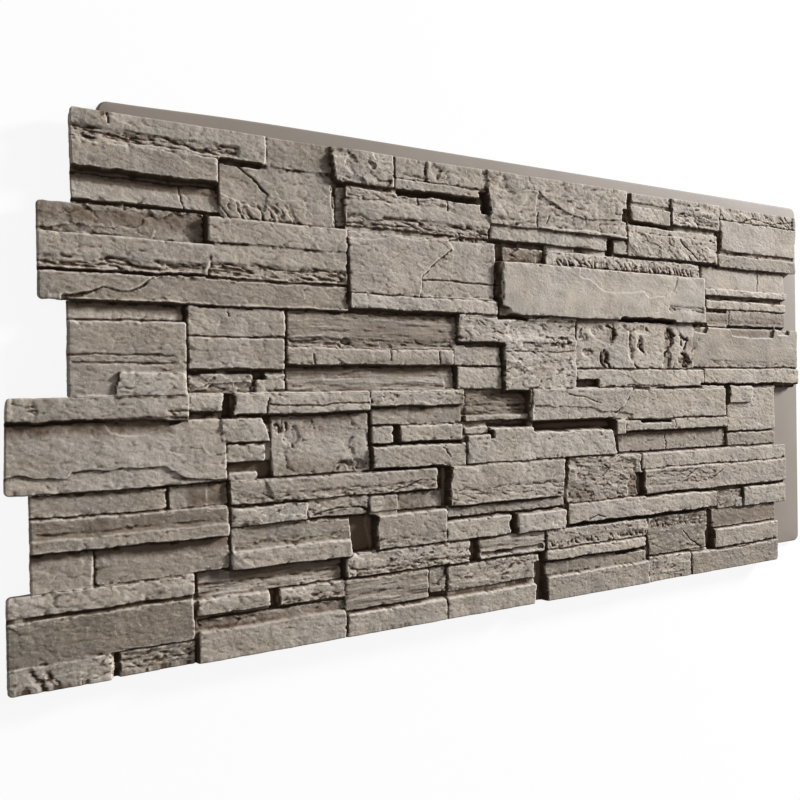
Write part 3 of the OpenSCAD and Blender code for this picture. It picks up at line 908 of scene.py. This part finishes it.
def rounded_edge(away, radius):
    """How far a quarter-round edge falls, at a distance in from the outline."""
    inside = np.clip(radius - away, 0, radius)
    return radius - np.sqrt(np.maximum(radius ** 2 - inside ** 2, 0))


def corner_bend(x, y, cx, cy, sx, sy, radius):
    """Moves the points of a square corner onto a quarter disc:
    a becomes a sqrt(1 - b^2 / 2), and b becomes b sqrt(1 - a^2 / 2)."""
    a, b = (x - cx) * sx / radius, (y - cy) * sy / radius
    inside = (a > 0) & (b > 0)
    a, b = np.clip(a, 0, 1), np.clip(b, 0, 1)
    bent_x = cx + sx * radius * a * np.sqrt(1 - b * b / 2)
    bent_y = cy + sy * radius * b * np.sqrt(1 - a * a / 2)
    return np.where(inside, bent_x, x), np.where(inside, bent_y, y)


def course_mesh(face, index, sizes):
    """One course as a closed slab: a grid of columns and rows over its stones, walls
    down to the lap or the plate, and an underside."""
    left, right = FINGERS[index], FINGERS[index] + face.cover
    last = len(COURSES)
    x = np.arange(round(left / COLUMN), round(right / COLUMN) + 1) * COLUMN
    x[0], x[-1] = left, right
    rows = np.linspace(0, 1, ROWS)[:, None]
    y_low, y_high = border(face, index + 1, x), border(face, index, x)
    X = np.repeat(x[None, :], ROWS, axis=0)
    Y = y_low + (y_high - y_low) * rows
    free_low = free_share(X, index + 1, face.cover)
    free_high = free_share(X, index - 1, face.cover)
    from_left, from_right = X - left, right - X
    from_low, from_high = Y - y_low, y_high - Y
    sample_x = np.clip(X, left + END_MARGIN, right - END_MARGIN)
    sample_y = np.maximum(Y, y_low + LOW_MARGIN * free_low)
    sample_y = np.minimum(sample_y, y_high - HIGH_MARGIN * free_high)
    Z, hollow, raised, tone = (face.sample(values, sample_x, sample_y) for values in
                               (face.z, face.hollow, face.raised, face.tone))
    edge = EDGE_RADIUS
    Z = Z - rounded_edge(from_left, edge) - rounded_edge(from_right, edge)
    Z = Z - free_low * rounded_edge(from_low, edge) - free_high * rounded_edge(from_high, edge)
    wander = 0.45 + 0.45 * layered_noise(Y / 16, Y * 0 + index, 77, 3)
    X = X + wander * np.exp(-from_left / WANDER_REACH)
    X = X - wander * np.exp(-from_right / WANDER_REACH)
    at_top, at_foot = END_INSETS[index]
    inset = at_foot + (at_top - at_foot) * rows
    X = np.maximum(X + inset * np.exp(-from_left / INSET_REACH), 0.1)
    radius = END_RADIUS
    corners = [(index + 1, 0, 0, -1, -1), (index - 1, 0, -1, -1, 1),
               (index + 1, -1, 0, 1, -1), (index - 1, -1, -1, 1, 1)]
    for other, column, row, sx, sy in corners:
        outside = (other < 0 or other >= last
                   or (FINGERS[other] - FINGERS[index]) * -sx > radius)
        if outside:
            cx, cy = X[row, column] - sx * radius, Y[row, column] - sy * radius
            X, Y = corner_bend(X, Y, cx, cy, sx, sy, radius)
    columns = len(x)
    cell = np.arange(ROWS * columns).reshape(ROWS, columns)
    a, b, c, d = cell[:-1, :-1], cell[:-1, 1:], cell[1:, 1:], cell[1:, :-1]
    flat = Z.ravel()
    turn = (np.abs(flat[a] - flat[c]) > np.abs(flat[b] - flat[d]))[..., None]
    first = np.where(turn, np.stack([a, b, d], -1), np.stack([a, b, c], -1))
    second = np.where(turn, np.stack([b, c, d], -1), np.stack([a, c, d], -1))
    triangles = np.concatenate([first.reshape(-1, 3), second.reshape(-1, 3)])
    loop = np.concatenate([cell[0, :-1], cell[:-1, -1], cell[-1, :0:-1], cell[:0:-1, 0]])
    ring_x, ring_y, ring_z = X.ravel()[loop], Y.ravel()[loop], flat[loop]
    lap = millimetres(sizes.plate_thickness + sizes.lap_clearance)
    buried = millimetres(sizes.plate_thickness) - BURIED
    on_plate = (ring_x > millimetres(sizes.side_lap)) & (ring_y > millimetres(sizes.bottom_lap))
    foot = np.where(on_plate, buried, lap)
    inward_x = np.clip((left + right) / 2 - ring_x, -1, 1)
    inward_y = np.clip((ring_y.min() + ring_y.max()) / 2 - ring_y, -1, 1)
    at_end = (ring_x < left + 6) | (ring_x > right - 6)
    inward_x = np.where(at_end, inward_x, 0.0)
    walls, wall_finish_and_painted_light = [], []
    size = len(loop)
    for k in range(1, SKIRT_ROWS + 1):
        t = k / SKIRT_ROWS
        z = ring_z + (foot - ring_z) * t
        rough = 0.45 + 0.45 * layered_noise((ring_x + ring_y) / 6, z / 4, 88, 3)
        push = (0.8 * t + rough) * np.sin(min(t * 2, 1) * math.pi / 2)
        walls.append(np.stack([ring_x + inward_x * push, ring_y + inward_y * push, z], -1))
        # The walls take the wash and painted shade of their top edge, and a painted shade that
        # deepens towards their foot
        shade = hollow.ravel()[loop] * (1 - t) + 0.35 * t
        wall_finish_and_painted_light.append(np.stack([shade, 0 * shade, tone.ravel()[loop], 0 * shade + 1], -1))
    points = np.concatenate([np.stack([X, Y, Z], -1).reshape(-1, 3)] + walls)
    finish_and_painted_light = np.concatenate([np.stack([hollow, raised, tone, 0 * tone + 1], -1).reshape(-1, 4)]
                            + wall_finish_and_painted_light)
    rings = [loop] + [ROWS * columns + size * k + np.arange(size) for k in range(SKIRT_ROWS)]
    strips = []
    for upper, lower in zip(rings, rings[1:]):
        strips.append(np.stack([upper, lower, np.roll(lower, -1), np.roll(upper, -1)], -1))
    quads = np.concatenate(strips)
    foot_ring = rings[-1]
    low_side = foot_ring[:columns]
    right_side = foot_ring[columns - 1:columns + ROWS - 1]
    high_side = foot_ring[columns + ROWS - 2:2 * columns + ROWS - 2][::-1]
    left_side = np.concatenate([foot_ring[2 * columns + ROWS - 3:], foot_ring[:1]])
    under = np.stack([low_side[1:-2], high_side[1:-2], high_side[2:-1], low_side[2:-1]], -1)
    left_cap = np.concatenate([left_side, low_side[1:2], high_side[1:2]])
    right_cap = np.concatenate([right_side, high_side[-2:-1], low_side[-2:-1]])
    all_corners = np.concatenate([triangles.ravel(), quads.ravel(), under.ravel(),
                                  left_cap, right_cap])
    counts = np.concatenate([np.full(len(triangles), 3), np.full(len(quads) + len(under), 4),
                             [len(left_cap), len(right_cap)]])
    return new_mesh("course_%d" % (index + 1), points, all_corners, counts, finish_and_painted_light)


# The upper edge of the plate sags by this much at its left end, within this reach
BOW_DEPTH = 4.6
BOW_REACH = 120.0
# Points round a corner of the plate and along its upper side, and its foot's radius
CORNER_POINTS = 13
SIDE_POINTS = 42
FOOT_RADIUS = 0.8


def plate_mesh(sizes):
    """The backing plate: a section carried round a rounded rectangle, from the middle
    of its front, over a quarter-round edge and under to the middle of its back. The
    upper side sags by a bell curve of the distance from its left end."""
    x0, y0 = millimetres(sizes.side_lap), millimetres(sizes.bottom_lap)
    x1, y1 = (CAD_HIGH[0] - CAD_LOW[0]) / MM, (CAD_HIGH[1] - CAD_LOW[1]) / MM
    corner, edge = millimetres(sizes.plate_corner), millimetres(sizes.plate_edge)
    thick = millimetres(sizes.plate_thickness)
    turn = np.linspace(0, math.pi / 2, CORNER_POINTS)
    along = np.linspace(x1 - corner, x0 + corner, SIDE_POINTS)[1:-1]
    right, left = (np.full(CORNER_POINTS, x) for x in (x1 - corner, x0 + corner))
    high, low = y1 - corner, y0 + corner
    angle = np.concatenate([turn, 0 * along + math.pi / 2]
                           + [turn + k * math.pi / 2 for k in (1, 2, 3)])
    centre_x = np.concatenate([right, along, left, left, right])
    bow = BOW_DEPTH * np.exp(-((centre_x - x0) / BOW_REACH) ** 2)
    upper = np.arange(len(centre_x)) < 2 * CORNER_POINTS + len(along)
    centre_y = np.where(upper, high - bow, low)
    centre = np.stack([centre_x, centre_y], -1)
    out = np.stack([np.cos(angle), np.sin(angle)], -1)
    middle = np.array([(x0 + x1) / 2, (y0 + y1) / 2])
    bend = np.linspace(0, math.pi / 2, 8)
    foot = FOOT_RADIUS
    inset = np.concatenate([edge * (1 - np.sin(bend)), [0.0], foot * (1 - np.cos(bend))])
    level = np.concatenate([thick - edge * (1 - np.cos(bend)), [foot + 1.0],
                            foot * (1 - np.sin(bend))])
    rims = centre[None] + out[None] * (corner - inset[:, None, None])
    shrink = np.array([0.35, 0.7, 0.92])
    front = middle + (rims[0] - middle) * shrink[:, None, None]
    back = middle + (rims[-1] - middle) * shrink[::-1, None, None]
    rings = np.concatenate([front, rims, back])
    levels = np.concatenate([np.full(3, thick), level, np.zeros(3)])
    count = rings.shape[1]
    points = np.concatenate([rings, np.repeat(levels[:, None, None], count, axis=1)], -1)
    points = np.concatenate([points.reshape(-1, 3), [[*middle, thick], [*middle, 0.0]]])
    cell = np.arange(len(levels) * count).reshape(len(levels), count)
    ahead = np.roll(cell, -1, axis=1)
    quads = np.stack([cell[:-1], cell[1:], ahead[1:], ahead[:-1]], -1).reshape(-1, 4)
    pole = len(points) - 2
    top_fan = np.stack([np.full(count, pole), cell[0], ahead[0]], -1)
    back_fan = np.stack([np.full(count, pole + 1), ahead[-1], cell[-1]], -1)
    corners = np.concatenate([quads.ravel(), top_fan.ravel(), back_fan.ravel()])
    counts = np.concatenate([np.full(len(quads), 4), np.full(2 * count, 3)])
    return new_mesh("backing_plate", points, corners, counts)


def node(tree, kind, place, **values):
    """A node at a place in its tree, with its properties set."""
    made = tree.nodes.new(kind)
    made.location = place
    for name, value in values.items():
        setattr(made, name, value)
    return made


def feed(tree, socket, value):
    """Links a socket to a node's output, or gives it a value."""
    if isinstance(value, bpy.types.NodeSocket):
        tree.links.new(value, socket)
    else:
        socket.default_value = value


def mixed(tree, place, share, under, over, blend="MIX"):
    """A colour mixed from two, of which each is a value or another node's output."""
    made = node(tree, "ShaderNodeMix", place, data_type="RGBA", blend_type=blend)
    for socket, value in ((0, share), (6, under), (7, over)):
        feed(tree, made.inputs[socket], value)
    return made.outputs[2]


def worked(tree, place, operation, first, second):
    """A value worked out from two."""
    made = node(tree, "ShaderNodeMath", place, operation=operation)
    feed(tree, made.inputs[0], first)
    feed(tree, made.inputs[1], second)
    return made.outputs[0]


def spread(tree, place, value, low, high, to_low, to_high):
    """A value mapped from one range to another, and clamped."""
    made = node(tree, "ShaderNodeMapRange", place)
    for name, given in (("Value", value), ("From Min", low), ("From Max", high),
                        ("To Min", to_low), ("To Max", to_high)):
        feed(tree, made.inputs[name], given)
    return made.outputs["Result"]


def noise_texture(tree, place, position, scale, detail, roughness=0.5):
    """A noise value at a position."""
    made = node(tree, "ShaderNodeTexNoise", place)
    for name, value in (("Vector", position), ("Scale", scale), ("Detail", detail),
                        ("Roughness", roughness)):
        feed(tree, made.inputs[name], value)
    return made.outputs["Fac"]


def grain_group():
    """Node group: the moulded skin's mottle, grain, tint and bump height."""
    group = bpy.data.node_groups.new("moulded_grain", "ShaderNodeTree")
    sockets = group.interface
    sockets.new_socket("Position", in_out="INPUT", socket_type="NodeSocketVector")
    for name in ("Mottle Scale", "Grain Scale"):
        sockets.new_socket(name, in_out="INPUT", socket_type="NodeSocketFloat")
    for name in ("Mottle", "Grain", "Tint", "Height"):
        sockets.new_socket(name, in_out="OUTPUT", socket_type="NodeSocketFloat")
    entry = node(group, "NodeGroupInput", (-700, 0)).outputs
    result = node(group, "NodeGroupOutput", (500, 0)).inputs
    position = entry["Position"]
    mottle = noise_texture(group, (-400, 250), position, entry["Mottle Scale"], 5, 0.6)
    grain = noise_texture(group, (-400, 0), position, entry["Grain Scale"], 6, 0.7)
    lumps = noise_texture(group, (-400, -250), position, 160, 4, 0.6)
    tint = noise_texture(group, (-400, 500), position, 17, 3)
    half = worked(group, (-100, -250), "MULTIPLY", lumps, 0.8)
    height = worked(group, (150, -100), "ADD", grain, half)
    for name, value in (("Mottle", mottle), ("Grain", grain), ("Tint", tint),
                        ("Height", height)):
        feed(group, result[name], value)
    return group


def grained_skin(tree, place, grain, mottle_scale, grain_scale):
    """The outputs of the grain group at each point of a piece."""
    position = node(tree, "ShaderNodeTexCoord", (place[0] - 250, 0)).outputs["Object"]
    made = node(tree, "ShaderNodeGroup", place)
    made.node_tree = grain
    for name, value in (("Position", position), ("Mottle Scale", mottle_scale),
                        ("Grain Scale", grain_scale)):
        feed(tree, made.inputs[name], value)
    return made.outputs


def dress(tree, surface, colour, rough, gloss, height, strength, distance):
    """Gives a surface its colour, roughness, gloss and bump."""
    bump = node(tree, "ShaderNodeBump", (320, -200))
    for socket, value in ((surface.inputs["Base Color"], colour),
                          (surface.inputs["Roughness"], rough),
                          (surface.inputs["Specular IOR Level"], gloss),
                          (bump.inputs["Strength"], strength),
                          (bump.inputs["Distance"], distance),
                          (bump.inputs["Height"], height),
                          (surface.inputs["Normal"], bump.outputs["Normal"])):
        feed(tree, socket, value)


def empty_material(name):
    """A material with only its surface and output nodes, its tree and its surface."""
    material = bpy.data.materials.new(name)
    material.use_nodes = True
    tree = material.node_tree
    tree.nodes.clear()
    output = node(tree, "ShaderNodeOutputMaterial", (900, 0))
    surface = node(tree, "ShaderNodeBsdfPrincipled", (600, 0))
    tree.links.new(surface.outputs["BSDF"], output.inputs["Surface"])
    return material, tree, surface


def stone_material(colours, grain):
    """Stone skin: a mottled ground by the stone's tone, pale dry-brushed raised edges that
    are also a painted highlight, and a brown stain and dark wash in the hollows that also
    paint shade in recesses, on walls facing away from the key lamp and in the shadow of
    higher stones, all matt, with a grained bump."""
    material, tree, surface = empty_material("stone_skin")
    skin = grained_skin(tree, (-1050, 0), grain, 26, 420)
    finish_and_painted_light = node(tree, "ShaderNodeAttribute", (-1300, 400), attribute_name="finish_and_painted_light")
    parts = node(tree, "ShaderNodeSeparateColor", (-1050, 400))
    feed(tree, parts.inputs["Color"], finish_and_painted_light.outputs["Color"])
    hollow, raised, tone = (parts.outputs[k] for k in range(3))

    lighter = spread(tree, (-750, 500), tone, 0.0, 1.0, 0.0, 0.55)
    darker = spread(tree, (-750, 300), tone, 0.0, -1.0, 0.0, 0.85)
    ground = mixed(tree, (-500, 450), lighter, colours.stone, colours.light_stone_and_highlight)
    shade = mixed(tree, (-300, 450), darker, ground, colours.stone_dark)
    blotch = spread(tree, (-500, 150), skin["Mottle"], 0.32, 0.68, 0.80, 1.22)
    speck = spread(tree, (-500, -50), skin["Grain"], 0.3, 0.7, 0.86, 1.15)
    both = worked(tree, (-300, 50), "MULTIPLY", blotch, speck)
    sort = spread(tree, (-500, -250), skin["Tint"], 0.42, 0.58, 0.0, 1.0)
    hue = mixed(tree, (-300, 200), sort, (1.02, 1.0, 0.965, 1), (0.99, 1.0, 1.02, 1))
    tinted = mixed(tree, (-200, 350), 1.0, shade, hue, "MULTIPLY")
    mottled = mixed(tree, (-100, 350), 1.0, tinted, both, "MULTIPLY")
    # Pale dry-brush on the crests, partly a painted highlight
    brush_and_highlight = spread(tree, (-100, 600), raised, 0.0, 1.0, 0.0, 0.75)
    brushed_and_highlighted = mixed(tree, (100, 400), brush_and_highlight, mottled, colours.light_stone_and_highlight)
    # Brown over the hollow mask: a stain in the hollows and painted shade and shadow elsewhere
    stain_and_shade_share = spread(tree, (100, 850), hollow, 0.0, 0.5, 0.0, 0.94)
    stained_and_shaded = mixed(tree, (220, 600), stain_and_shade_share, brushed_and_highlighted, colours.stain_and_shade)
    # Dark wash in the joints and painted shade on the walls that face away from the key lamp
    wash_and_shade = spread(tree, (100, 650), hollow, 0.45, 1.0, 0.0, 0.97)
    washed_and_shaded = mixed(tree, (320, 400), wash_and_shade, stained_and_shaded, colours.joint)
    rough = spread(tree, (320, 0), skin["Grain"], 0.3, 0.7, 0.82, 0.95)
    dress(tree, surface, washed_and_shaded, rough, 0.25, skin["Height"], 0.55, 0.0012)
    return material


def flange_material(colours, grain):
    """Plate skin: plain moulded foam, faintly mottled, a little smoother."""
    material, tree, surface = empty_material("plate_skin")
    skin = grained_skin(tree, (-700, 0), grain, 9, 600)
    blotch = spread(tree, (-400, 150), skin["Mottle"], 0.3, 0.7, 0.93, 1.07)
    mottled = mixed(tree, (-100, 150), 1.0, colours.flange, blotch, "MULTIPLY")
    rough = spread(tree, (-100, -50), skin["Grain"], 0.3, 0.7, 0.6, 0.72)
    dress(tree, surface, mottled, rough, 0.3, skin["Grain"], 0.2, 0.0003)
    return material


def floor_material():
    """White floor that looks white to the camera and keeps most of the shadow."""
    material, tree, surface = empty_material("white_floor")
    link = tree.links.new
    surface.inputs["Base Color"].default_value = (0.9, 0.9, 0.9, 1)
    surface.inputs["Roughness"].default_value = 0.9
    surface.inputs["Specular IOR Level"].default_value = 0.0
    glow = node(tree, "ShaderNodeEmission", (600, 250))
    glow.inputs["Color"].default_value = (1, 1, 1, 1)
    glow.inputs["Strength"].default_value = 1.0
    path = node(tree, "ShaderNodeLightPath", (100, 300))
    seen = worked(tree, (300, 300), "MAXIMUM", path.outputs["Is Camera Ray"],
                  path.outputs["Is Glossy Ray"])
    share = worked(tree, (450, 300), "MULTIPLY", seen, 0.9)
    blend = node(tree, "ShaderNodeMixShader", (780, 150))
    link(share, blend.inputs[0])
    link(surface.outputs["BSDF"], blend.inputs[1])
    link(glow.outputs["Emission"], blend.inputs[2])
    output = next(n for n in tree.nodes if n.type == "OUTPUT_MATERIAL")
    link(blend.outputs[0], output.inputs["Surface"])
    return material


def shared_grain():
    """The one grain group that both skins use."""
    return bpy.data.node_groups.get("moulded_grain") or grain_group()


class PANEL_OT_stone_courses(bpy.types.Operator):
    """Build the six courses of moulded stones"""
    bl_idname = "stone_panel.courses"
    bl_label = "Stone courses"

    def execute(self, context):
        sizes, colours = context.scene.panel_sizes, context.scene.panel_colours
        face = Face(sizes)
        skin = stone_material(colours, shared_grain())
        for index in range(len(COURSES)):
            piece = course_mesh(face, index, sizes)
            piece.data.materials.append(skin)
            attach(piece, "root")
            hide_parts(PANEL_NODE)
        return {"FINISHED"}


class PANEL_OT_backing_plate(bpy.types.Operator):
    """Build the plain backing plate with its flanges"""
    bl_idname = "stone_panel.plate"
    bl_label = "Backing plate"

    def execute(self, context):
        sizes, colours = context.scene.panel_sizes, context.scene.panel_colours
        piece = plate_mesh(sizes)
        piece.data.materials.append(flange_material(colours, shared_grain()))
        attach(piece, "root")
        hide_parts(PANEL_NODE)
        return {"FINISHED"}


# The camera stands to the left of the panel and looks across it, in millimetres of
# the corner frame and degrees.
CAMERA_PLACE = (-97.0, 302.0, 962.9)
CAMERA_YAW, CAMERA_PITCH, CAMERA_ROLL = 31.086, -0.379, -0.852
CAMERA_LENS, SENSOR_WIDTH = 38.09, 36.0


def camera_matrix():
    """The camera's place and turn: yaw is from straight down towards +X."""
    yaw, pitch, roll = (math.radians(a) for a in (CAMERA_YAW, CAMERA_PITCH, CAMERA_ROLL))
    ahead = Vector((math.sin(yaw) * math.cos(pitch), math.sin(pitch),
                    -math.cos(yaw) * math.cos(pitch)))
    right = Vector((math.cos(yaw), 0, math.sin(yaw)))
    up = right.cross(ahead)
    rolled_right = math.cos(roll) * right + math.sin(roll) * up
    rolled_up = math.cos(roll) * up - math.sin(roll) * right
    turn = Matrix((rolled_right, rolled_up, -ahead)).transposed().to_4x4()
    place = Vector(CAMERA_PLACE) * MM + Vector((CAD_LOW[0], CAD_LOW[1], 0))
    return Matrix.Translation(place) @ turn


# Stage: half the floor's side and the lamp's distance in metres, the world's light on
# the panel, and the key lamp's power, direction and width
FLOOR_HALF = 6.0
LAMP_DISTANCE = 6.5
WORLD_LIGHT = 0.31
KEY_POWER = 900.0
KEY_DIRECTION = (0.84, 0.42, 0.34)
KEY_WIDTH = 1.2


def add_lamp(name, kind, energy, direction, **values):
    """A lamp that shines from a direction towards the panel."""
    data = bpy.data.lights.new(name, kind)
    data.energy = energy
    for key, value in values.items():
        setattr(data, key, value)
    lamp = bpy.data.objects.new(name, data)
    away = Vector(direction).normalized()
    lamp.rotation_euler = away.to_track_quat("Z", "Y").to_euler()
    lamp.location = away * LAMP_DISTANCE
    bpy.context.scene.collection.objects.link(lamp)
    return lamp


class PANEL_OT_stage(bpy.types.Operator):
    """Set up the white floor, the plain studio light and the camera"""
    bl_idname = "stone_panel.stage"
    bl_label = "Stage"

    def execute(self, context):
        scene = context.scene
        half = FLOOR_HALF
        corners = [(-half, -half, 0), (half, -half, 0), (half, half, 0), (-half, half, 0)]
        mesh = bpy.data.meshes.new("floor")
        mesh.from_pydata(corners, [], [(0, 1, 2, 3)])
        floor = bpy.data.objects.new("floor", mesh)
        scene.collection.objects.link(floor)
        mesh.materials.append(floor_material())
        floor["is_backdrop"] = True

        add_lamp("key", "AREA", KEY_POWER, KEY_DIRECTION, shape="DISK", size=KEY_WIDTH)
        world = bpy.data.worlds.new("studio")
        world.use_nodes = True
        tree = world.node_tree
        background = tree.nodes["Background"]
        background.inputs["Color"].default_value = (1, 1, 1, 1)
        path = node(tree, "ShaderNodeLightPath", (-500, 300))
        strength = spread(tree, (-250, 300), path.outputs["Is Camera Ray"],
                          0.0, 1.0, WORLD_LIGHT, 1.0)
        tree.links.new(strength, background.inputs["Strength"])
        scene.world = world

        data = bpy.data.cameras.new("camera")
        data.sensor_fit = "HORIZONTAL"
        data.sensor_width = SENSOR_WIDTH
        data.lens = CAMERA_LENS
        data.clip_start = 0.02
        camera = bpy.data.objects.new("camera", data)
        camera.matrix_world = camera_matrix()
        scene.collection.objects.link(camera)
        scene.camera = camera
        scene.view_settings.view_transform = "Standard"
        return {"FINISHED"}


class PANEL_PT_sidebar(bpy.types.Panel):
    """Sizes, colours and buttons of the stone panel"""
    bl_label = "Stone panel"
    bl_idname = "PANEL_PT_sidebar"
    bl_space_type = "VIEW_3D"
    bl_region_type = "UI"
    bl_category = "Stone panel"

    def draw(self, context):
        for group in (context.scene.panel_sizes, context.scene.panel_colours):
            for name in group.__annotations__:
                self.layout.prop(group, name)
        for operator in (PANEL_OT_stage, PANEL_OT_stone_courses, PANEL_OT_backing_plate):
            self.layout.operator(operator.bl_idname)


CLASSES = (PanelSizes, PanelColours, PANEL_OT_stone_courses, PANEL_OT_backing_plate,
           PANEL_OT_stage, PANEL_PT_sidebar)


def register():
    for cls in CLASSES:
        bpy.utils.register_class(cls)
    bpy.types.Scene.panel_sizes = bpy.props.PointerProperty(type=PanelSizes)
    bpy.types.Scene.panel_colours = bpy.props.PointerProperty(type=PanelColours)


def unregister():
    del bpy.types.Scene.panel_colours
    del bpy.types.Scene.panel_sizes
    for cls in reversed(CLASSES):
        bpy.utils.unregister_class(cls)


def main():
    register()
    bpy.ops.stone_panel.stage()
    bpy.ops.stone_panel.courses()
    bpy.ops.stone_panel.plate()


if __name__ == "__main__":
    main()
